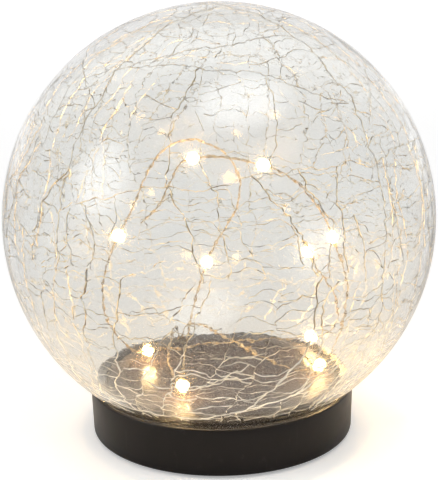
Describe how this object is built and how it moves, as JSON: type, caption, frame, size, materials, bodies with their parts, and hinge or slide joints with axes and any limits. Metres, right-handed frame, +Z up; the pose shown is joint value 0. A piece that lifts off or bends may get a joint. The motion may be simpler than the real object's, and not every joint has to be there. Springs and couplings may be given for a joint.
{
  "type": "garden globe light",
  "caption": "Crackle-glass garden globe light with formed wires of small warm lights inside, on a low round dark base.",
  "frame": {"origin": "on the resting surface, under the middle of the globe", "axes": "+Z up, through the middle of the globe and base; -Y is the pictured front; +X is right from the front"},
  "size_m": [0.15, 0.15, 0.1526],
  "materials": {
    "dark_plastic": "satin moulded plastic, very dark brown",
    "cover_plastic": "satin moulded plastic, very dark brown",
    "clear_glass": "clear crackle glass, smooth outside",
    "panel_face": "glossy dark brown laminate",
    "copper_wire": "enamelled copper pair",
    "resin": "clear resin lit warm white",
    "light_chip": "phosphor yellow",
    "black_rubber": "soft black rubber",
    "clear_silicone": "cured clear silicone",
    "foam": "black adhesive foam",
    "steel": "zinc-plated steel",
    "board_green": "solder mask",
    "chip_black": "moulded epoxy",
    "ferrite": "ferrite and varnish",
    "can_aluminium": "sleeved can",
    "cell_sleeve": "plain printed sleeve",
    "switch_black": "moulded nylon",
    "knob_white": "moulded nylon",
    "lead_red": "insulated lead"
  },
  "bodies": {
    "base": {"glass_globe": "clear_glass", "globe_gasket": "black_rubber", "globe_sealant": "clear_silicone", "base_housing": "dark_plastic", "rubber_feet": "black_rubber", "inner_cover": "cover_plastic", "cover_screws": "steel", "panel_pad": "foam", "solar_panel": "panel_face", "string_grommet": "black_rubber", "battery_holder": "switch_black", "battery_cell": "cell_sleeve", "battery_plates": "steel", "battery_spring": "steel", "circuit_board": "board_green", "board_screws": "steel", "driver_chip": "chip_black", "boost_inductor": "ferrite", "storage_capacitor": "can_aluminium", "switch_case": "switch_black", "light_string_left": "copper_wire", "light_string_right": "copper_wire", "led_chips": "light_chip", "led_beads": "resin", "panel_leads": "lead_red", "battery_leads": "lead_red"},
    "door": {"battery_door": "dark_plastic", "door_screw": "steel", "door_seal": "black_rubber"},
    "slider": {"switch_slider": "knob_white"}
  },
  "joints": [
    {"name": "battery_door_hinge", "type": "hinge", "parent": "base", "child": "door", "pos_m": [0, -0.0055, 0.0022], "axis": [1, 0, 0], "range_deg": [0, 90]},
    {"name": "power_switch", "type": "slide", "parent": "base", "child": "slider", "axis": [1, 0, 0], "range_m": [-0.003, 0]}
  ]
}
